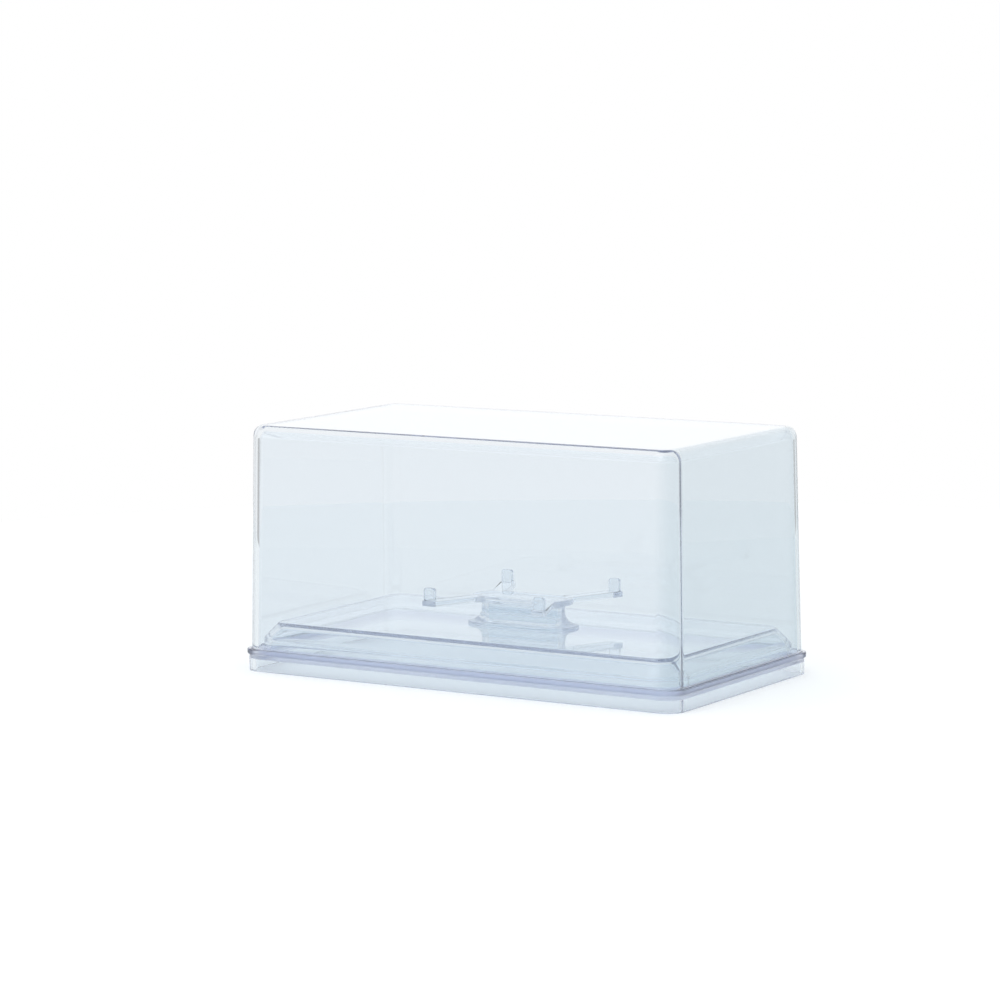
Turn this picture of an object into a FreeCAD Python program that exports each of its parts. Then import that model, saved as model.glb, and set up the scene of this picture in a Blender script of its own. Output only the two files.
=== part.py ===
"""Clear display case for a small model: a base tray, a lift-off cover and a loose model cradle.

Millimetres, +Z up. The origin is the middle of the base's footprint, on the surface it stands on.
The long side runs along X.
"""
import FreeCAD, Part
import math
import os

# Base tray
BASE_LENGTH = 108.0
BASE_WIDTH = 58.4
BASE_CORNER_RADIUS = 4.0
BASE_WALL = 1.35
SKIRT_HEIGHT = 3.6
LEDGE_THICKNESS = 0.9
LEDGE_EDGE_CHAMFER = 0.35
PLUG_HEIGHT = 3.4
SHOULDER_RISE = 3.3
SHOULDER_RUN = 3.3
PLATEAU_CORNER_RADIUS = 3.2
PLATEAU_EDGE_RADIUS = 0.4
HOLLOW_EDGE_RADIUS = 2.2

# Cover
COVER_HEIGHT = 49.7
COVER_WALL = 1.3
COVER_ROOF = 1.2
COVER_SET_IN = 0.4
COVER_DRAFT = 0.9
COVER_CORNER_RADIUS = 4.3
COVER_EDGE_RADIUS = 2.2
CEILING_EDGE_RADIUS = 1.7
FLANGE_THICKNESS = 1.2
FLANGE_OVERHANG = 0.4
FLANGE_ROOT_RADIUS = 0.45
FLANGE_EDGE_CHAMFER = 0.2
COVER_CLEARANCE = 0.2

# Cradle
COLUMN_LENGTH = 20.0
COLUMN_WIDTH = 6.0
COLUMN_WALL = 1.5
FOOT_THICKNESS = 0.6
FOOT_FLARE_RADIUS = 2.8
FOOT_LIP = 0.2
DECK_HEIGHT = 5.0
DECK_THICKNESS = 1.2
DECK_LIP = 0.8
DECK_ROOT_RADIUS = 1.0
ARM_WIDTH = 3.2
ARM_ROOT_X = 8.0
ARM_ROOT_Y = 2.5
TAB_SPACING = 27.4
TAB_GAP = 30.0
TAB_WIDTH = 2.6
TAB_THICKNESS = 1.0
TAB_RISE = 2.8
TAB_CORNER_RADIUS = 0.6

# Smallest radius left on an inner corner of a moulding
INNER_RADIUS = 0.4
TOLERANCE = 1e-4

# Heights shared by pieces that seat on each other
LEDGE_TOP = SKIRT_HEIGHT
PLUG_TOP = LEDGE_TOP + PLUG_HEIGHT
PLATEAU_TOP = PLUG_TOP + SHOULDER_RISE
COVER_TOP = LEDGE_TOP + COVER_HEIGHT

# Insets are measured inwards from the base's side
COVER_LEAN = COVER_HEIGHT * math.tan(math.radians(COVER_DRAFT))
PLUG_INSET = COVER_SET_IN + COVER_WALL + COVER_CLEARANCE
PLATEAU_INSET = PLUG_INSET + SHOULDER_RUN
PLUG_CORNER_RADIUS = PLATEAU_CORNER_RADIUS + SHOULDER_RUN


def rounded_wire(length, width, radius, z):
    """Closed outline of a rectangle with round corners, centred on the origin at height z."""
    x = length / 2
    y = width / 2
    slant = radius * (1 - math.sqrt(0.5))
    edges = []
    for turn in range(4):
        across, along = (x, y) if turn % 2 == 0 else (y, x)
        side = Part.LineSegment(
            FreeCAD.Vector(across, radius - along, z), FreeCAD.Vector(across, along - radius, z)
        )
        corner = Part.Arc(
            FreeCAD.Vector(across, along - radius, z),
            FreeCAD.Vector(across - slant, along - slant, z),
            FreeCAD.Vector(across - radius, along, z),
        )
        for curve in (side, corner):
            edge = curve.toShape()
            edge.rotate(FreeCAD.Vector(0, 0, 0), FreeCAD.Vector(0, 0, 1), 90 * turn)
            edges.append(edge)
    return Part.Wire(Part.__sortEdges__(edges))


def inset_wire(inset, radius, z):
    """Outline that stands in from the base's side by the same amount all round."""
    return rounded_wire(BASE_LENGTH - 2 * inset, BASE_WIDTH - 2 * inset, radius, z)


def inset_block(inset, radius, bottom, top):
    """Straight-sided block on an inset outline."""
    return Part.Face(inset_wire(inset, radius, bottom)).extrude(FreeCAD.Vector(0, 0, top - bottom))


def inset_taper(inset, radius, bottom, top_inset, top):
    """Block whose sides lean from one inset to another, with cones for its corners."""
    x = BASE_LENGTH / 2 - inset - radius
    y = BASE_WIDTH / 2 - inset - radius
    top_radius = radius - (top_inset - inset)
    levels = ((-1, radius, bottom), (1, radius, bottom), (1, top_radius, top), (-1, top_radius, top))
    ends = [FreeCAD.Vector(side * (x + reach), -y, z) for side, reach, z in levels]
    sides = [FreeCAD.Vector(-x, side * (y + reach), z) for side, reach, z in levels]
    block = Part.Face(Part.makePolygon(ends + ends[:1])).extrude(FreeCAD.Vector(0, 2 * y, 0))
    parts = [Part.Face(Part.makePolygon(sides + sides[:1])).extrude(FreeCAD.Vector(2 * x, 0, 0))]
    for place in ((x, y), (-x, y), (-x, -y), (x, -y)):
        parts.append(Part.makeCone(radius, top_radius, top - bottom, FreeCAD.Vector(*place, bottom)))
    return block.fuse(parts).removeSplitter()


def edges_at(shape, z, reach_x=None, reach_y=None):
    """Edges that lie at height z, and within the given reach from the Z axis if one is given."""
    found = []
    for edge in shape.Edges:
        box = edge.BoundBox
        level = abs(box.ZMin - z) < TOLERANCE and abs(box.ZMax - z) < TOLERANCE
        inside_x = reach_x is None or box.XMax < reach_x + TOLERANCE and box.XMin > -reach_x - TOLERANCE
        inside_y = reach_y is None or box.YMax < reach_y + TOLERANCE and box.YMin > -reach_y - TOLERANCE
        if level and inside_x and inside_y:
            found.append(edge)
    return found


def make_base():
    """One moulding, open below: skirt, ledge for the cover, plug inside the cover, raised plateau."""
    skirt = inset_block(0, BASE_CORNER_RADIUS, 0, LEDGE_TOP)
    skirt = skirt.makeChamfer(LEDGE_EDGE_CHAMFER, edges_at(skirt, LEDGE_TOP))
    plug = inset_block(PLUG_INSET, PLUG_CORNER_RADIUS, 0, PLUG_TOP)
    shoulder = inset_taper(PLUG_INSET, PLUG_CORNER_RADIUS, PLUG_TOP, PLATEAU_INSET, PLATEAU_TOP)
    shoulder = shoulder.makeFillet(PLATEAU_EDGE_RADIUS, edges_at(shoulder, PLATEAU_TOP))
    outside = skirt.fuse([plug, shoulder])

    slope = math.atan2(SHOULDER_RISE, SHOULDER_RUN)
    ceiling = PLATEAU_TOP - BASE_WALL
    hollow_plug_top = PLUG_TOP - BASE_WALL * math.tan((math.pi / 2 - slope) / 2)
    hollow_plug_inset = PLUG_INSET + BASE_WALL
    hollow_plug_radius = PLUG_CORNER_RADIUS - BASE_WALL
    hollow_plateau_inset = PLATEAU_INSET + BASE_WALL * math.tan(slope / 2)
    hollow_skirt_radius = max(BASE_CORNER_RADIUS - BASE_WALL, INNER_RADIUS)
    raised = inset_block(hollow_plug_inset, hollow_plug_radius, 0, hollow_plug_top)
    raised = raised.fuse(
        inset_taper(hollow_plug_inset, hollow_plug_radius, hollow_plug_top, hollow_plateau_inset, ceiling)
    ).removeSplitter()
    rims = edges_at(raised, hollow_plug_top) + edges_at(raised, ceiling)
    raised = raised.makeFillet(HOLLOW_EDGE_RADIUS, rims)
    hollow = raised.fuse(inset_block(BASE_WALL, hollow_skirt_radius, 0, LEDGE_TOP - LEDGE_THICKNESS))
    return outside.cut(hollow).removeSplitter().Solids[0]


def make_cover():
    """Thin box open below, with leaning walls, a soft upper edge and a flange that sits on the ledge."""
    walls = inset_taper(
        COVER_SET_IN, COVER_CORNER_RADIUS, LEDGE_TOP, COVER_SET_IN + COVER_LEAN, COVER_TOP
    )
    walls = walls.makeFillet(COVER_EDGE_RADIUS, edges_at(walls, COVER_TOP))

    flange_top = LEDGE_TOP + FLANGE_THICKNESS
    flange = inset_block(-FLANGE_OVERHANG, BASE_CORNER_RADIUS + FLANGE_OVERHANG, LEDGE_TOP, flange_top)
    flange = flange.makeChamfer(FLANGE_EDGE_CHAMFER, edges_at(flange, flange_top))
    outside = walls.fuse(flange).removeSplitter()
    root_x = BASE_LENGTH / 2 - COVER_SET_IN
    root_y = BASE_WIDTH / 2 - COVER_SET_IN
    outside = outside.makeFillet(FLANGE_ROOT_RADIUS, edges_at(outside, flange_top, root_x, root_y))

    ceiling = COVER_TOP - COVER_ROOF
    inner_inset = COVER_SET_IN + COVER_WALL
    lean_at_ceiling = COVER_LEAN * (ceiling - LEDGE_TOP) / COVER_HEIGHT
    inside = inset_taper(
        inner_inset, COVER_CORNER_RADIUS - COVER_WALL, LEDGE_TOP, inner_inset + lean_at_ceiling, ceiling
    )
    inside = inside.makeFillet(CEILING_EDGE_RADIUS, edges_at(inside, ceiling))
    return outside.cut(inside).Solids[0]


def stadium(length, width, bottom, top):
    """Upright block with half-round ends."""
    x = (length - width) / 2
    y = width / 2
    edges = []
    for side in (1, -1):
        start = FreeCAD.Vector(side * x, -side * y, bottom)
        end = FreeCAD.Vector(side * x, side * y, bottom)
        edges.append(Part.Arc(start, FreeCAD.Vector(side * (x + y), 0, bottom), end).toShape())
        edges.append(Part.LineSegment(end, FreeCAD.Vector(-side * x, side * y, bottom)).toShape())
    return Part.Face(Part.Wire(edges)).extrude(FreeCAD.Vector(0, 0, top - bottom))


def make_arm(side_x, side_y, bottom, top):
    """Flat arm from the deck out to one tab, with a half-round inner end."""
    tab_y = TAB_GAP / 2 + TAB_THICKNESS
    start = FreeCAD.Vector(side_x * ARM_ROOT_X, side_y * ARM_ROOT_Y, bottom)
    end = FreeCAD.Vector(side_x * TAB_SPACING / 2, side_y * tab_y, bottom)
    reach = end - start
    heading = math.degrees(math.atan2(reach.y, reach.x))
    arm = stadium(2 * reach.Length + ARM_WIDTH, ARM_WIDTH, bottom, top)
    arm.rotate(FreeCAD.Vector(0, 0, 0), FreeCAD.Vector(0, 0, 1), heading)
    arm.translate(FreeCAD.Vector(start.x, start.y, 0))
    keep = Part.makeBox(
        TAB_SPACING / 2 + TAB_WIDTH / 2 + ARM_WIDTH, tab_y, top - bottom, FreeCAD.Vector(0, 0, bottom)
    )
    if side_x < 0:
        keep = keep.mirror(FreeCAD.Vector(0, 0, 0), FreeCAD.Vector(1, 0, 0))
    if side_y < 0:
        keep = keep.mirror(FreeCAD.Vector(0, 0, 0), FreeCAD.Vector(0, 1, 0))
    return arm.common(keep)


def make_cradle():
    """Loose riser that stands on the plateau: flared column, deck, and four arms with upturned tabs."""
    foot_top = PLATEAU_TOP + FOOT_THICKNESS
    deck_bottom = PLATEAU_TOP + DECK_HEIGHT
    deck_top = deck_bottom + DECK_THICKNESS
    flare = 2 * (FOOT_FLARE_RADIUS + FOOT_LIP)
    brim = 2 * (DECK_ROOT_RADIUS + DECK_LIP)
    foot = stadium(COLUMN_LENGTH + flare, COLUMN_WIDTH + flare, PLATEAU_TOP, foot_top)
    column = stadium(COLUMN_LENGTH, COLUMN_WIDTH, PLATEAU_TOP, deck_top)
    deck = stadium(COLUMN_LENGTH + brim, COLUMN_WIDTH + brim, deck_bottom, deck_top)
    body = foot.fuse([column, deck]).removeSplitter()
    reach = (COLUMN_LENGTH / 2, COLUMN_WIDTH / 2)
    body = body.makeFillet(FOOT_FLARE_RADIUS, edges_at(body, foot_top, *reach))
    body = body.makeFillet(DECK_ROOT_RADIUS, edges_at(body, deck_bottom, *reach))

    limbs = []
    for side_x in (-1, 1):
        for side_y in (-1, 1):
            limbs.append(make_arm(side_x, side_y, deck_bottom, deck_top))
            tab = Part.makeBox(
                TAB_WIDTH,
                TAB_THICKNESS,
                DECK_THICKNESS + TAB_RISE,
                FreeCAD.Vector(-TAB_WIDTH / 2, -TAB_THICKNESS / 2, deck_bottom),
            )
            upper = [e for e in edges_at(tab, deck_top + TAB_RISE) if e.BoundBox.XLength < TOLERANCE]
            tab = tab.makeFillet(TAB_CORNER_RADIUS, upper)
            tab.translate(
                FreeCAD.Vector(side_x * TAB_SPACING / 2, side_y * (TAB_GAP + TAB_THICKNESS) / 2, 0)
            )
            limbs.append(tab)
    body = body.fuse(limbs).removeSplitter()

    core = stadium(
        COLUMN_LENGTH - 2 * COLUMN_WALL, COLUMN_WIDTH - 2 * COLUMN_WALL, PLATEAU_TOP, deck_top - COLUMN_WALL
    )
    return body.cut(core).removeSplitter().Solids[0]


def main():
    """Build every piece and write one file for each."""
    os.makedirs("parts", exist_ok=True)
    pieces = {"base": make_base(), "cover": make_cover(), "cradle": make_cradle()}
    for name, solid in pieces.items():
        print(name, "volume", round(solid.Volume, 1), "mm3")
        solid.exportStep(os.path.join("parts", name + ".step"))


main()
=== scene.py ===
"""Clear display case for a small scale model: the looks of its three mouldings, a stage and a camera."""
import math

import bmesh
import bpy
from mathutils import Matrix, Vector


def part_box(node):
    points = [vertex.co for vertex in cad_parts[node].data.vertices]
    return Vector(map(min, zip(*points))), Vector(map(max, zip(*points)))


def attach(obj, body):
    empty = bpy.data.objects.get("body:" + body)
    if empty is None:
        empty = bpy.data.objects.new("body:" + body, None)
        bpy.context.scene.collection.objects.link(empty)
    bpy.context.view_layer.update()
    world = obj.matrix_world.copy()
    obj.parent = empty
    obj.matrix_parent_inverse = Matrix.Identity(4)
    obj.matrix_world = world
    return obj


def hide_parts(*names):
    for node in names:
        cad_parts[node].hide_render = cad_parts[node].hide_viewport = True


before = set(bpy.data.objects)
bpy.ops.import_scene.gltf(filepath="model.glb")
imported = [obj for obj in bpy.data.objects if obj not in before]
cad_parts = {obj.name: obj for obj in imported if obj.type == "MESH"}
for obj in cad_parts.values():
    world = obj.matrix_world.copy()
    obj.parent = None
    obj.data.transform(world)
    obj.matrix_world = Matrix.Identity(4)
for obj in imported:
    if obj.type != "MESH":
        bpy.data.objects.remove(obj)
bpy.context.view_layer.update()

bl_info = {
    "name": "Clear display case",
    "version": (1, 0, 0),
    "blender": (4, 5, 0),
    "location": "3D View > Sidebar > Display case",
    "description": "Builds the clear mouldings of a small display case, with its stage and camera",
    "category": "Object",
}

MM = 0.001

BASE_LOW, BASE_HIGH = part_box("base")
COVER_LOW, COVER_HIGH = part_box("cover")
CRADLE_LOW, CRADLE_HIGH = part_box("cradle")
BASE_HALF = ((BASE_HIGH.x - BASE_LOW.x) / 2, (BASE_HIGH.y - BASE_LOW.y) / 2)
LEDGE_TOP = COVER_LOW.z
PLATEAU_TOP = BASE_HIGH.z

CORNER_STEPS = 16
FILLET_STEPS = 8
FLOOR_STEPS = 96
# Only the direction of a profile's two loose ends counts, so they lie this far along
FAR = 0.02
# Points that are nearer than this are one point
WELD = 1e-7
# The cradle's edges that turn by more than this are softened
EDGE_TURN = math.radians(40)
# A Mix node's colour sockets share their names with other sockets, so they go by number
MIX_A = 6
MIX_B = 7
MIX_RESULT = 2
# Dim cards in the surround, in degrees: below the horizon, so that the case's top never mirrors them
CARD_AZIMUTHS = (278, 172)
CARD_ELEVATION = -15
CARD_REACH = 22
# Clear walls behind clear walls need many bounces before light gets through
LIGHT_BOUNCES = 128


def linear(hex_colour):
    """An sRGB hex colour as linear RGBA."""
    parts = [int(hex_colour[i:i + 2], 16) / 255 for i in (1, 3, 5)]
    return [p / 12.92 if p <= 0.04045 else ((p + 0.055) / 1.055) ** 2.4 for p in parts] + [1.0]


def size(name, description, millimetres):
    """A length that a user may change, shown in the scene's unit."""
    return bpy.props.FloatProperty(
        name=name, description=description, default=millimetres * MM, precision=5, unit="LENGTH"
    )


def colour(name, description, hex_colour):
    """A colour that a user may change."""
    return bpy.props.FloatVectorProperty(
        name=name, description=description, default=linear(hex_colour),
        size=4, min=0, max=1, subtype="COLOR",
    )


class BaseSizes(bpy.types.PropertyGroup):
    """Sizes of the base tray."""

    wall: size("Wall", "Thickness of the moulding", 1.35)
    corner_radius: size("Corner radius", "Upright corners of the skirt", 4.0)
    foot_radius: size("Foot radius", "Rounding of the rim that it stands on", 0.15)
    ledge_thickness: size("Ledge thickness", "Thickness of the ledge that carries the cover", 0.9)
    ledge_radius: size("Ledge radius", "Rounding of the ledge's outer edge", 0.5)
    plug_inset: size("Plug inset", "From the skirt in to the plug that locates the cover", 1.9)
    plug_height: size("Plug height", "Straight part of the plug above the ledge", 3.4)
    plug_corner: size("Plug corner", "Upright corners of the plug", 6.5)
    plug_radius: size("Plug rim radius", "Rounding where the plug turns into the shoulder", 0.3)
    shoulder_run: size("Shoulder run", "How far the shoulder slopes inwards", 3.3)
    plateau_radius: size("Plateau edge radius", "Rounding of the plateau's edge", 0.3)
    hollow_radius: size("Hollow radius", "Rounding inside, under plateau and shoulder", 2.2)
    hollow_edge: size("Hollow edge", "Rounding of the hollow's step under the ledge", 0.1)


class CoverSizes(bpy.types.PropertyGroup):
    """Sizes of the cover."""

    wall: size("Wall", "Thickness of the side walls", 1.3)
    roof: size("Roof", "Thickness of the top", 1.2)
    set_in: size("Set in", "From the base's side in to the foot of the walls", 0.4)
    lean: size("Lean", "How far the walls lean in over the whole height", 0.78)
    corner_radius: size("Corner radius", "Upright corners of the walls", 4.2)
    edge_radius: size("Edge radius", "Rounding of the top's edge", 2.2)
    ceiling_radius: size("Ceiling radius", "Rounding between ceiling and walls", 1.6)
    flange_thickness: size("Flange thickness", "Height of the flange", 1.2)
    flange_root: size("Flange root radius", "Blend from the walls to the flange", 0.45)
    flange_corner: size("Flange corner", "Upright corners of the flange", 4.4)
    flange_radius: size("Flange edge radius", "Rounding of the flange's edges", 0.3)
    seat_gap: size("Seat gap", "Film of air under the flange, where it rests on the ledge", 0.03)


class CradleSizes(bpy.types.PropertyGroup):
    """Sizes of the model's cradle."""

    column_length: size("Column length", "Length of the column", 20.0)
    column_width: size("Column width", "Width of the column", 6.0)
    column_wall: size("Column wall", "Thickness of the hollow column", 1.5)
    foot_thickness: size("Foot thickness", "Height of the foot's rim", 0.6)
    foot_reach: size("Foot reach", "How far the foot stands out from the column", 3.0)
    flare_radius: size("Flare radius", "Hollow curve from the foot up to the column", 2.8)
    deck_height: size("Deck height", "From the plateau to the underside of the deck", 5.0)
    deck_thickness: size("Deck thickness", "Thickness of the deck and its arms", 1.2)
    deck_reach: size("Deck reach", "How far the deck stands out from the column", 1.8)
    deck_root: size("Deck root radius", "Hollow curve from the column out to the deck", 1.0)
    arm_width: size("Arm width", "Width of an arm", 3.2)
    arm_root_x: size("Arm root X", "Where an arm's middle line starts", 8.0)
    arm_root_y: size("Arm root Y", "Where an arm's middle line starts", 2.5)
    arm_blend: size("Arm blend", "Hollow curve between an arm and the deck", 1.5)
    tab_spacing: size("Tab spacing", "Between the middles of two tabs along the case", 27.4)
    tab_width: size("Tab width", "Width of a tab", 2.6)
    tab_thickness: size("Tab thickness", "Thickness of a tab", 1.0)
    tab_corner: size("Tab corner", "Rounding of a tab's upper corners", 0.6)
    edge_radius: size("Edge radius", "Softening of every edge of the moulding", 0.12)
    seat_gap: size("Seat gap", "Film of air under the foot, where it rests on the plateau", 0.03)


class ClearFinish(bpy.types.PropertyGroup):
    """The clear plastic that all three pieces are moulded from."""

    # Painted tint: the pale blue-grey of the surround, as seen through a wall, is painted into the
    # plastic's colour
    painted_tint: colour("Film", "Cold cast of one wall, from its skin of handling and dust", "#F3F7FA")
    # Painted shade on the cover's right end, for the darker look that side takes in the light
    end_painted_shade: colour("End film", "The same on the cover's right end, by which it is held", "#E3EBEF")
    # Where the right end's painted shade starts, and where it is full
    end_start: size("End start", "From the middle to where the right end's skin starts", 48.0)
    end_reach: size("End reach", "From the middle to where it is full", 52.5)
    # Painted shade: a darker, bluer band where flange and ledge meet, for the shade of that seam
    seam_painted_shade: colour("Seat film", "The same where the cover's foot rubs on the ledge", "#E6EAF6")
    seat_middle: size("Seat middle", "Height of the middle of that band", 3.75)
    seat_half: size("Seat half height", "Half of that band's height", 1.05)
    seat_blur: bpy.props.FloatProperty(
        name="Seat blur", description="Roughness of that band", default=0.3, min=0.0, max=1.0
    )
    tint: colour("Tint", "What a long way through the plastic looks like", "#96A4C4")
    depth: bpy.props.FloatProperty(
        name="Tint depth", description="Light lost in each metre of plastic", default=14.0, min=0.0
    )
    ior: bpy.props.FloatProperty(
        name="IOR", description="Refractive index of polystyrene", default=1.59, min=1.0
    )
    wave: size("Wave", "Spacing of the faint ripples of a moulded wall", 14.0)
    scuff: size("Scuff", "Spacing of the fine rubbing marks", 0.5)


class StageSettings(bpy.types.PropertyGroup):
    """Floor, light and camera."""

    floor_colour: colour("Floor", "Pale paper that the case stands on", "#E6E9EA")
    floor_reach: size("Floor reach", "Radius of the floor", 290.0)
    floor_lift: bpy.props.FloatProperty(
        name="Floor lift", default=0.24,
        description="Added to the floor for the camera, so that it reads as white",
    )
    mirrored_lift: bpy.props.FloatProperty(
        name="Mirrored lift", default=0.13, description="The same for the floor as clear plastic shows it"
    )
    # Painted light: the paper under the case glows more, against the shade that the case casts there
    under_case_painted_light: bpy.props.FloatProperty(
        name="Under lift", default=0.19, description="The same for the paper under the case"
    )
    under_start: size("Under start", "From the middle to where the lift under the case fades", 30.0)
    under_reach: size("Under reach", "From the middle to where it has faded", 110.0)
    fill: bpy.props.FloatProperty(
        name="Fill", default=0.94, min=0.0,
        description="Light of the white surround on the floor and the case",
    )
    cards: bpy.props.FloatProperty(
        name="Dim cards", default=0.5, min=0.0,
        description="Brightness of the cards that clear plastic shows in its edges",
    )
    key: bpy.props.FloatProperty(
        name="Key light", default=0.35, min=0.0, description="Wide soft light from the front left"
    )
    rim: bpy.props.FloatProperty(
        name="Rim light", default=0.01, min=0.0,
        description="Low soft light behind the case, mirrored by the top",
    )
    azimuth: bpy.props.FloatProperty(
        name="Azimuth", default=math.radians(32.477), subtype="ANGLE",
        description="Camera's turn from the front towards +X",
    )
    elevation: bpy.props.FloatProperty(
        name="Elevation", default=math.radians(7.309), subtype="ANGLE",
        description="Camera's height above the horizon",
    )
    roll: bpy.props.FloatProperty(
        name="Roll", default=math.radians(-0.51), subtype="ANGLE",
        description="Camera's turn about its own line of sight",
    )
    lens: bpy.props.FloatProperty(name="Lens", description="Focal length in millimetres", default=137.1)
    camera_place: bpy.props.FloatVectorProperty(
        name="Camera", description="Where the camera stands", size=3, unit="LENGTH",
        default=(430.36 * MM, -685.57 * MM, 141.08 * MM),
    )


def node(tree, kind, inputs=None, **settings):
    """Add one node. Settings are its own fields, and an input is a value or a socket to link."""
    made = tree.nodes.new(kind)
    for field, value in settings.items():
        setattr(made, field, value)
    for name, value in (inputs or {}).items():
        if isinstance(value, bpy.types.NodeSocket):
            tree.links.new(value, made.inputs[name])
        else:
            made.inputs[name].default_value = value
    return made


def rounded_ring(half_length, half_width, radius, height):
    """Points of a rectangle with round corners, anticlockwise seen from above."""
    points = []
    for turn, (side_x, side_y) in enumerate(((1, 1), (-1, 1), (-1, -1), (1, -1))):
        centre = Vector((side_x * (half_length - radius), side_y * (half_width - radius), height))
        for step in range(CORNER_STEPS + 1):
            angle = math.pi / 2 * (turn + step / CORNER_STEPS)
            points.append(centre + radius * Vector((math.cos(angle), math.sin(angle), 0)))
    return points


def arc(centre, first, last, steps):
    """Points of a flat arc about a centre, from one spoke to another."""
    turn = first.angle_signed(last)
    return [centre + Matrix.Rotation(-turn * i / steps, 2) @ first for i in range(steps + 1)]


def fillet(before, corner, after, radius):
    """Points of the arc that rounds a corner of a flat outline."""
    to_before = (before - corner).normalized()
    to_after = (after - corner).normalized()
    half = to_before.angle(to_after) / 2
    trim = radius / math.tan(half)
    if trim > min((before - corner).length, (after - corner).length):
        raise ValueError("A rounding is too large for its corner")
    centre = corner + (to_before + to_after).normalized() * (radius / math.sin(half))
    first = corner + to_before * trim - centre
    last = corner + to_after * trim - centre
    return arc(centre, first, last, FILLET_STEPS)


def profile_rings(half, corners):
    """Rings of a moulding whose section turns at corners of (inset, height, rounding, axis inset).

    The axis is the upright line that the plan's round corner turns about. The first and last corner
    only give the direction in which the section goes on.
    """
    rings = []
    for before, here, after in zip(corners, corners[1:], corners[2:]):
        rounding, axis = here[2:]
        for point in fillet(Vector(before[:2]), Vector(here[:2]), Vector(after[:2]), rounding):
            rings.append(rounded_ring(half[0] - point.x, half[1] - point.x, axis - point.x, point.y))
    return rings


def loft(mesh, rings, close_first=True):
    """Skin a row of rings with quads and close the last one, and the first one too if asked."""
    loops = [[mesh.verts.new(point) for point in ring] for ring in rings]
    for lower, upper in zip(loops, loops[1:]):
        for i, start in enumerate(lower):
            j = (i + 1) % len(lower)
            mesh.faces.new((start, lower[j], upper[j], upper[i]))
    mesh.faces.new(loops[-1])
    if close_first:
        mesh.faces.new(loops[0][::-1])
    return loops


def finish_piece(context, name, mesh, body, material):
    """Turn a bmesh into a smooth piece that rides on its body and stands for the body's solid."""
    bmesh.ops.remove_doubles(mesh, verts=mesh.verts[:], dist=WELD)
    bmesh.ops.recalc_face_normals(mesh, faces=mesh.faces[:])
    for face in mesh.faces:
        face.smooth = True
    data = bpy.data.meshes.new(name)
    mesh.to_mesh(data)
    mesh.free()
    data.materials.append(material)
    piece = bpy.data.objects.new(name, data)
    context.scene.collection.objects.link(piece)
    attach(piece, body)
    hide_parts(body)
    return piece


def keep_flats_even(piece):
    """Large faces set the normals along their edges, so that flat walls bend no light."""
    piece.modifiers.new("even_flats", "WEIGHTED_NORMAL")


def clear_polystyrene(name, finish, end_painted_shade=None, rubs=False):
    """Crystal polystyrene, injection moulded in a polished tool.

    Gives the eye a hard bright gloss, edges that gather a cold blue and walls with the faintest ripple.
    Its colour can carry painted shade on the right end, and a band of painted shade where cover and base
    meet, where the skin is also rougher as they rub on each other.
    """
    material = bpy.data.materials.new(name)
    material.use_nodes = True
    tree = material.node_tree
    tree.nodes.clear()
    place = node(tree, "ShaderNodeTexCoord").outputs["Object"]
    # Ripple left by the melt as it filled the mould
    ripple = node(tree, "ShaderNodeTexNoise", {"Vector": place, "Scale": 1 / finish.wave, "Detail": 1.0})
    bump = node(
        tree, "ShaderNodeBump", {"Height": ripple.outputs["Fac"], "Strength": 0.02, "Distance": 0.1 * MM}
    )
    # Fine rubbing marks of handling, longer than they are wide, and coarse enough to show
    stretch = node(tree, "ShaderNodeMapping", {"Vector": place, "Scale": (1.0, 1.0, 0.12)})
    scuffs = node(
        tree, "ShaderNodeTexNoise",
        {"Vector": stretch.outputs["Vector"], "Scale": 1 / finish.scuff, "Detail": 3.0},
    )
    marks = node(
        tree, "ShaderNodeMapRange",
        {
            "Value": scuffs.outputs["Fac"], "From Min": 0.55, "From Max": 0.8,
            "To Min": 0.0, "To Max": 0.02,
        },
    )
    roughness = marks.outputs["Result"]
    # The walls' colour starts from that painted tint of the surround seen through them
    painted_tint = finish.painted_tint
    # Painted shade: the right end is darkened, for the darker look that side takes in the light
    if end_painted_shade is not None:
        along = node(tree, "ShaderNodeSeparateXYZ", {"Vector": place}).outputs["X"]
        end = node(
            tree, "ShaderNodeMapRange",
            {"Value": along, "From Min": finish.end_start, "From Max": finish.end_reach},
            interpolation_type="SMOOTHSTEP",
        )
        shade_painted = node(
            tree, "ShaderNodeMix",
            {"Factor": end.outputs["Result"], MIX_A: painted_tint, MIX_B: end_painted_shade}, data_type="RGBA",
        )
        painted_tint = shade_painted.outputs[MIX_RESULT]
    # Painted shade: a darker, bluer band where flange and ledge meet, for the shade of that seam; the
    # same band is also rougher, where the pieces rub
    if rubs:
        height = node(tree, "ShaderNodeSeparateXYZ", {"Vector": place}).outputs["Z"]
        seat = node(
            tree, "ShaderNodeMath", {0: height, 1: finish.seat_middle, 2: finish.seat_half},
            operation="COMPARE",
        )
        seam_shaded = node(
            tree, "ShaderNodeMix",
            {"Factor": seat.outputs[0], MIX_A: painted_tint, MIX_B: finish.seam_painted_shade}, data_type="RGBA",
        )
        painted_tint = seam_shaded.outputs[MIX_RESULT]
        matt = node(
            tree, "ShaderNodeMath", {0: seat.outputs[0], 1: finish.seat_blur, 2: roughness},
            operation="MULTIPLY_ADD",
        )
        roughness = matt.outputs[0]
    surface = node(
        tree, "ShaderNodeBsdfPrincipled",
        {
            "Base Color": painted_tint, "Roughness": roughness, "IOR": finish.ior,
            "Transmission Weight": 1.0, "Normal": bump.outputs["Normal"],
        },
    )
    depth = node(tree, "ShaderNodeVolumeAbsorption", {"Color": finish.tint, "Density": finish.depth})
    node(
        tree, "ShaderNodeOutputMaterial",
        {"Surface": surface.outputs["BSDF"], "Volume": depth.outputs["Volume"]},
    )
    return material


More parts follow.
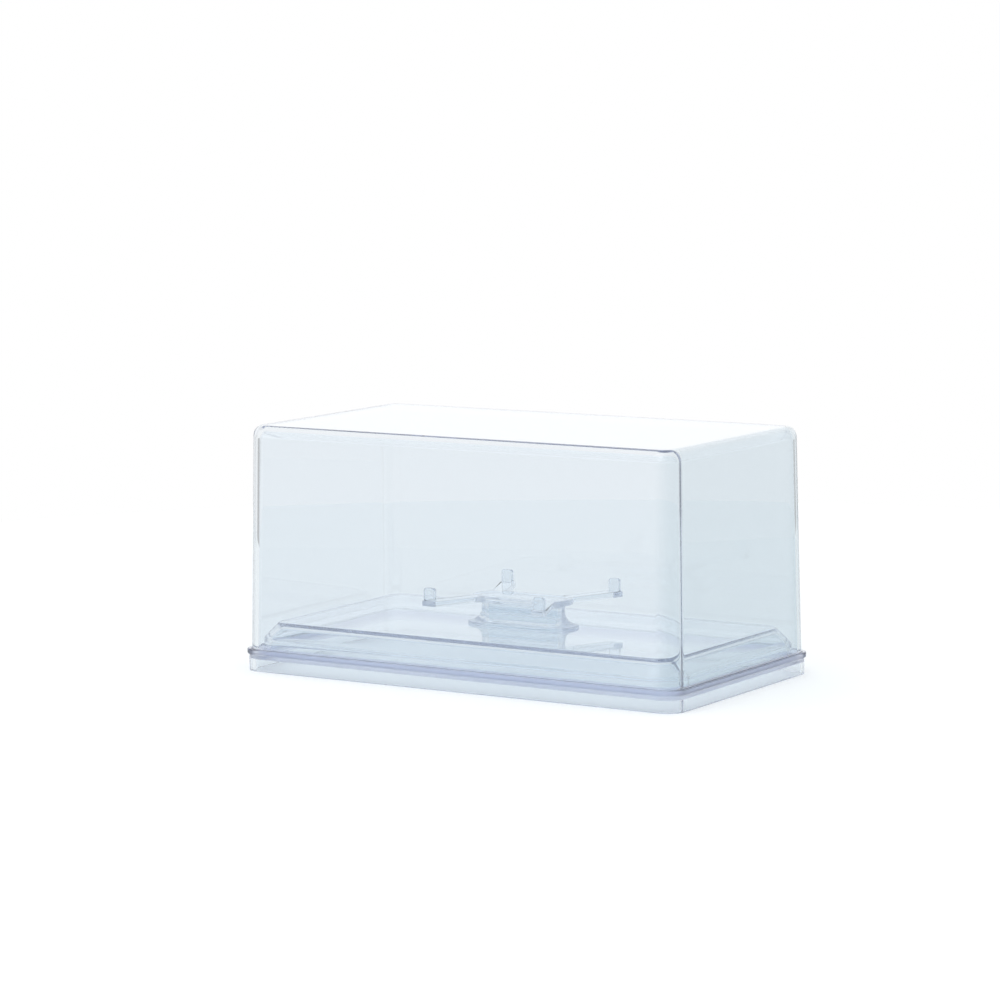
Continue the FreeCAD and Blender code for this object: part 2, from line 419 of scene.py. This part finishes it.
class DISPLAY_CASE_OT_base(bpy.types.Operator):
    """Make the base tray: skirt, ledge, plug, sloping shoulder and raised plateau, open below."""

    bl_idname = "display_case.base"
    bl_label = "Base tray"

    def execute(self, context):
        sizes = context.scene.display_case_base
        wall = sizes.wall
        plug_top = LEDGE_TOP + sizes.plug_height
        plateau_inset = sizes.plug_inset + sizes.shoulder_run
        slope = math.atan2(PLATEAU_TOP - plug_top, sizes.shoulder_run)
        hollow_plug_top = plug_top - wall * math.tan((math.pi / 2 - slope) / 2)
        hollow_plateau = plateau_inset + wall * math.tan(slope / 2)
        ledge_bottom = LEDGE_TOP - sizes.ledge_thickness
        step = sizes.hollow_edge
        soft = sizes.hollow_radius
        skirt_axis = sizes.corner_radius
        plug_axis = sizes.plug_inset + sizes.plug_corner
        corners = (
            (plateau_inset + FAR, PLATEAU_TOP, 0, 0),
            (plateau_inset, PLATEAU_TOP, sizes.plateau_radius, plug_axis),
            (sizes.plug_inset, plug_top, sizes.plug_radius, plug_axis),
            (sizes.plug_inset, LEDGE_TOP, sizes.plug_radius, plug_axis),
            (0, LEDGE_TOP, sizes.ledge_radius, skirt_axis),
            (0, 0, sizes.foot_radius, skirt_axis),
            (wall, 0, sizes.foot_radius, skirt_axis),
            (wall, ledge_bottom, step, skirt_axis),
            (sizes.plug_inset + wall, ledge_bottom, step, plug_axis),
            (sizes.plug_inset + wall, hollow_plug_top, soft, plug_axis),
            (hollow_plateau, PLATEAU_TOP - wall, soft, plug_axis),
            (hollow_plateau + FAR, PLATEAU_TOP - wall, 0, 0),
        )
        mesh = bmesh.new()
        loft(mesh, profile_rings(BASE_HALF, corners))
        finish = context.scene.display_case_finish
        material = clear_polystyrene("polystyrene_base", finish, rubs=True)
        keep_flats_even(finish_piece(context, "base_tray", mesh, "base", material))
        return {"FINISHED"}


class DISPLAY_CASE_OT_cover(bpy.types.Operator):
    """Make the cover: thin leaning walls, a soft upper edge and a flange round the foot."""

    bl_idname = "display_case.cover"
    bl_label = "Cover"

    def execute(self, context):
        sizes = context.scene.display_case_cover
        top = COVER_HIGH.z
        bottom = COVER_LOW.z + sizes.seat_gap
        overhang = BASE_HALF[0] - COVER_HIGH.x
        flange_top = COVER_LOW.z + sizes.flange_thickness
        ceiling = top - sizes.roof
        slant = sizes.lean / (top - COVER_LOW.z)
        inner_corner = sizes.corner_radius - sizes.wall
        flange_axis = overhang + sizes.flange_corner
        top_inset = sizes.set_in + sizes.lean
        root_inset = sizes.set_in + slant * sizes.flange_thickness
        inner_foot = sizes.set_in + sizes.wall
        inner_top = inner_foot + slant * (ceiling - COVER_LOW.z)
        corners = (
            (top_inset + FAR, top, 0, 0),
            (top_inset, top, sizes.edge_radius, top_inset + sizes.corner_radius),
            (root_inset, flange_top, sizes.flange_root, root_inset + sizes.corner_radius),
            (overhang, flange_top, sizes.flange_radius, flange_axis),
            (overhang, bottom, sizes.flange_radius, flange_axis),
            (inner_foot, bottom, sizes.flange_radius, inner_foot + inner_corner),
            (inner_top, ceiling, sizes.ceiling_radius, inner_top + inner_corner),
            (inner_top + FAR, ceiling, 0, 0),
        )
        mesh = bmesh.new()
        loft(mesh, profile_rings(BASE_HALF, corners))
        finish = context.scene.display_case_finish
        material = clear_polystyrene("polystyrene_cover", finish, finish.end_painted_shade, rubs=True)
        keep_flats_even(finish_piece(context, "cover_shell", mesh, "cover", material))
        return {"FINISHED"}


def deck_quarter(sizes, tab_y):
    """A quarter of the deck's outline, from the middle of its long side round one arm to its end.

    Returns the points, and the two among them where the tab's outer face stands.
    """
    half_width = sizes.column_width / 2 + sizes.deck_reach
    end_centre = Vector((sizes.column_length / 2 - sizes.column_width / 2, 0))
    root = Vector((sizes.arm_root_x, sizes.arm_root_y))
    tip = Vector((sizes.tab_spacing / 2, tab_y))
    along = (tip - root).normalized()
    across = Vector((along.y, -along.x)) * (sizes.arm_width / 2)

    def edge_at(side, height):
        start = root + side * across
        return start + along * ((height - start.y) / along.y)

    side_point = Vector((0, half_width))
    inner_root = edge_at(-1, half_width)
    points = [side_point]
    points += fillet(side_point, inner_root, edge_at(-1, tab_y), sizes.arm_blend)
    points.append(edge_at(-1, tab_y))
    tab_points = [Vector((tip.x + side * sizes.tab_width / 2, tab_y)) for side in (-1, 1)]
    points += tab_points
    points.append(edge_at(1, tab_y))
    # The outer blend touches the arm's edge and the deck's round end from outside
    blend = sizes.arm_blend
    offset = root + across + across.normalized() * blend - end_centre
    reach = half_width + blend
    middle = -offset.dot(along) + math.sqrt(offset.dot(along) ** 2 - offset.length_squared + reach ** 2)
    centre = end_centre + offset + along * middle
    inwards = (end_centre - centre).normalized()
    points += arc(centre, -across.normalized() * blend, inwards * blend, FILLET_STEPS)
    # The round end starts where the blend stops
    points += arc(end_centre, -inwards * half_width, Vector((half_width, 0)), CORNER_STEPS)[1:]
    return points, tab_points


def deck_outline(sizes, tab_y):
    """The deck's whole outline, and for each point whether a tab's outer face stands on it."""
    quarter, tab_points = deck_quarter(sizes, tab_y)
    outline = []
    on_tab = []
    for side_x, side_y, order in ((1, 1, 1), (1, -1, -1), (-1, -1, 1), (-1, 1, -1)):
        for point in quarter[::order][:-1]:
            outline.append(Vector((side_x * point.x, side_y * point.y)))
            on_tab.append(point in tab_points)
    return outline, on_tab


def add_tab(mesh, sizes, first, second, top):
    """Stand a tab on the outer edge from first to second, and return its two inner foot points."""
    side = (second.co - first.co).normalized()
    inward = Vector((0, -math.copysign(sizes.tab_thickness, first.co.y), 0))
    low = Vector((0, first.co.z))
    width = (second.co - first.co).length
    left_top = Vector((0, top))
    right_top = Vector((width, top))
    face = fillet(low, left_top, right_top, sizes.tab_corner)
    face += fillet(left_top, right_top, Vector((width, first.co.z)), sizes.tab_corner)
    arch = [Vector((first.co.x, first.co.y, p.y)) + side * p.x for p in face]
    outer = [first] + [mesh.verts.new(p) for p in arch] + [second]
    inner = [mesh.verts.new(v.co + inward) for v in outer]
    mesh.faces.new(outer)
    mesh.faces.new(inner[::-1])
    for i in range(len(outer) - 1):
        mesh.faces.new((outer[i], outer[i + 1], inner[i + 1], inner[i]))
    return [inner[0], inner[-1]]


class DISPLAY_CASE_OT_cradle(bpy.types.Operator):
    """Make the model's cradle: flared hollow column, deck, and four arms with upturned tabs."""

    bl_idname = "display_case.cradle"
    bl_label = "Cradle"

    def execute(self, context):
        sizes = context.scene.display_case_cradle
        foot = CRADLE_LOW.z + sizes.seat_gap
        foot_top = CRADLE_LOW.z + sizes.foot_thickness
        deck_bottom = CRADLE_LOW.z + sizes.deck_height
        deck_top = deck_bottom + sizes.deck_thickness
        core_top = deck_top - sizes.column_wall
        soft = sizes.edge_radius
        plan = sizes.column_width / 2
        reach = -sizes.foot_reach
        wall = sizes.column_wall
        corners = (
            (-FAR, deck_bottom, 0, 0),
            (0, deck_bottom, sizes.deck_root, plan),
            (0, foot_top, sizes.flare_radius, plan),
            (reach, foot_top, soft, plan),
            (reach, foot, soft, plan),
            (wall, foot, soft, plan),
            (wall, core_top, 2 * soft, plan),
            (wall + FAR, core_top, 0, 0),
        )
        mesh = bmesh.new()
        half = (sizes.column_length / 2, sizes.column_width / 2)
        loops = loft(mesh, profile_rings(half, corners), close_first=False)
        outline, on_tab = deck_outline(sizes, CRADLE_HIGH.y)
        lower = [mesh.verts.new((p.x, p.y, deck_bottom)) for p in outline]
        upper = [mesh.verts.new((p.x, p.y, deck_top)) for p in outline]
        deck = []
        for i, start in enumerate(upper):
            j = (i + 1) % len(upper)
            mesh.faces.new((lower[i], lower[j], upper[j], start))
            deck.append(start)
            if on_tab[i] and on_tab[j]:
                deck += add_tab(mesh, sizes, start, upper[j], CRADLE_HIGH.z)
        mesh.faces.new(deck)
        bmesh.ops.remove_doubles(mesh, verts=loops[0], dist=WELD)
        rims = [e for e in mesh.edges if len(e.link_faces) == 1]
        bmesh.ops.triangle_fill(mesh, edges=rims, use_beauty=True)
        finish = context.scene.display_case_finish
        material = clear_polystyrene("polystyrene_cradle", finish)
        piece = finish_piece(context, "cradle_riser", mesh, "cradle", material)
        bevel = piece.modifiers.new("soft_edges", "BEVEL")
        bevel.width = soft
        bevel.segments = 2
        bevel.limit_method = "ANGLE"
        bevel.angle_limit = EDGE_TURN
        keep_flats_even(piece)
        return {"FINISHED"}


def by_ray(tree, camera, shown, other):
    """A socket with a value each for camera rays, for what clear plastic shows and for other light."""
    path = node(tree, "ShaderNodeLightPath").outputs
    clear = node(
        tree, "ShaderNodeMath", {0: path["Is Glossy Ray"], 1: path["Is Transmission Ray"]},
        operation="MAXIMUM",
    )
    # Light that has met the floor on its way is other light
    direct = node(tree, "ShaderNodeMath", {0: path["Diffuse Depth"], 1: 0.5}, operation="LESS_THAN")
    shows = node(
        tree, "ShaderNodeMath", {0: clear.outputs[0], 1: direct.outputs[0]}, operation="MULTIPLY"
    )
    value = other
    for ray, own in ((shows.outputs[0], shown), (path["Is Camera Ray"], camera)):
        choice = node(tree, "ShaderNodeMix", {"Factor": ray, "A": value, "B": own}, data_type="FLOAT")
        value = choice.outputs["Result"]
    return value


def pale_paper(settings):
    """White card, matt: evenly pale, and lifted to white for the eye while it keeps the shadow."""
    material = bpy.data.materials.new("pale_paper")
    material.use_nodes = True
    tree = material.node_tree
    tree.nodes.clear()
    paper = node(tree, "ShaderNodeBsdfDiffuse", {"Color": settings.floor_colour})
    # Painted light: clear plastic dims the paper under the case, so that it is lifted most there, with a
    # glow against that shade
    place = node(tree, "ShaderNodeTexCoord").outputs["Object"]
    reach = node(tree, "ShaderNodeVectorMath", {0: place}, operation="LENGTH")
    fade = node(
        tree, "ShaderNodeMapRange",
        {
            "Value": reach.outputs["Value"],
            "From Min": settings.under_start, "From Max": settings.under_reach,
            "To Min": settings.under_case_painted_light, "To Max": settings.mirrored_lift,
        },
        interpolation_type="SMOOTHSTEP",
    )
    lift = by_ray(tree, settings.floor_lift, fade.outputs["Result"], 0.0)
    glow = node(tree, "ShaderNodeEmission", {"Color": linear("#FFFFFF"), "Strength": lift})
    both = node(tree, "ShaderNodeAddShader", {0: paper.outputs[0], 1: glow.outputs[0]})
    node(tree, "ShaderNodeOutputMaterial", {"Surface": both.outputs[0]})
    return material


def direction(azimuth, elevation):
    """Unit vector from the case towards a place round it. Azimuth 0 is in front, a quarter turn at +X."""
    level = math.cos(elevation)
    return Vector((math.sin(azimuth) * level, -math.cos(azimuth) * level, math.sin(elevation)))


def dim_card(tree, seen, azimuth, level):
    """Brightness of the surround with a soft dim card in it, which draws the edges of clear plastic."""
    place = node(tree, "ShaderNodeTexCoord").outputs["Generated"]
    aim = direction(math.radians(azimuth), math.radians(CARD_ELEVATION))
    near = node(tree, "ShaderNodeVectorMath", {0: place, 1: aim}, operation="DOT_PRODUCT")
    reach = math.radians(CARD_REACH)
    card = node(
        tree, "ShaderNodeMapRange",
        {
            "Value": near.outputs["Value"],
            "From Min": math.cos(reach), "From Max": math.cos(reach / 2),
            "To Min": seen, "To Max": level,
        },
        interpolation_type="SMOOTHSTEP",
    )
    return card.outputs["Result"]


def soft_sun(scene, name, azimuth, elevation, spread, strength):
    """A broad even light from far away, with its angles in degrees."""
    light = bpy.data.lights.new(name, "SUN")
    light.angle = math.radians(spread)
    light.energy = strength
    lamp = bpy.data.objects.new(name, light)
    towards = direction(math.radians(azimuth), math.radians(elevation))
    lamp.matrix_world = towards.to_track_quat("Z", "Y").to_matrix().to_4x4()
    scene.collection.objects.link(lamp)


class DISPLAY_CASE_OT_stage(bpy.types.Operator):
    """Make the floor, the soft studio light and the camera."""

    bl_idname = "display_case.stage"
    bl_label = "Stage"

    def execute(self, context):
        settings = context.scene.display_case_stage
        scene = context.scene
        mesh = bmesh.new()
        bmesh.ops.create_circle(mesh, cap_ends=True, segments=FLOOR_STEPS, radius=settings.floor_reach)
        data = bpy.data.meshes.new("floor")
        mesh.to_mesh(data)
        mesh.free()
        data.materials.append(pale_paper(settings))
        floor = bpy.data.objects.new("floor", data)
        scene.collection.objects.link(floor)

        world = bpy.data.worlds.new("studio")
        scene.world = world
        world.use_nodes = True
        tree = world.node_tree
        tree.nodes.clear()
        seen = 1.0
        for azimuth in CARD_AZIMUTHS:
            seen = dim_card(tree, seen, azimuth, settings.cards)
        strength = by_ray(tree, 1.0, seen, settings.fill)
        backdrop = node(tree, "ShaderNodeBackground", {"Color": linear("#FFFFFF"), "Strength": strength})
        node(tree, "ShaderNodeOutputWorld", {"Surface": backdrop.outputs[0]})
        soft_sun(scene, "key", azimuth=-20, elevation=60, spread=40, strength=settings.key)
        soft_sun(scene, "rim", azimuth=212, elevation=9, spread=20, strength=settings.rim)

        back = direction(settings.azimuth, settings.elevation)
        right = Vector((math.cos(settings.azimuth), math.sin(settings.azimuth), 0))
        level = Matrix((right, back.cross(right), back)).transposed()
        turned = level @ Matrix.Rotation(settings.roll, 3, "Z")
        lens = bpy.data.cameras.new("camera")
        lens.lens = settings.lens
        lens.clip_start = 0.01
        camera = bpy.data.objects.new("camera", lens)
        camera.matrix_world = Matrix.Translation(settings.camera_place) @ turned.to_4x4()
        scene.collection.objects.link(camera)
        scene.camera = camera
        scene.view_settings.view_transform = "Standard"
        scene.cycles.blur_glossy = 0.0
        scene.cycles.max_bounces = LIGHT_BOUNCES
        scene.cycles.transmission_bounces = LIGHT_BOUNCES
        scene.cycles.glossy_bounces = LIGHT_BOUNCES
        return {"FINISHED"}


class DISPLAY_CASE_PT_panel(bpy.types.Panel):
    """Buttons that make the case and its stage."""

    bl_label = "Display case"
    bl_idname = "DISPLAY_CASE_PT_panel"
    bl_space_type = "VIEW_3D"
    bl_region_type = "UI"
    bl_category = "Display case"

    def draw(self, context):
        for operator in OPERATORS:
            self.layout.operator(operator.bl_idname)


OPERATORS = (DISPLAY_CASE_OT_base, DISPLAY_CASE_OT_cover, DISPLAY_CASE_OT_cradle, DISPLAY_CASE_OT_stage)
SETTINGS = {
    "display_case_base": BaseSizes,
    "display_case_cover": CoverSizes,
    "display_case_cradle": CradleSizes,
    "display_case_finish": ClearFinish,
    "display_case_stage": StageSettings,
}


def register():
    """Add the settings, the operators and the panel to Blender."""
    for name, group in SETTINGS.items():
        bpy.utils.register_class(group)
        setattr(bpy.types.Scene, name, bpy.props.PointerProperty(type=group))
    for kind in OPERATORS + (DISPLAY_CASE_PT_panel,):
        bpy.utils.register_class(kind)


def unregister():
    """Take them out again."""
    for kind in (DISPLAY_CASE_PT_panel,) + OPERATORS:
        bpy.utils.unregister_class(kind)
    for name, group in SETTINGS.items():
        delattr(bpy.types.Scene, name)
        bpy.utils.unregister_class(group)


def main():
    """Build the case and its stage."""
    register()
    bpy.ops.display_case.base()
    bpy.ops.display_case.cover()
    bpy.ops.display_case.cradle()
    bpy.ops.display_case.stage()


if __name__ == "__main__":
    main()
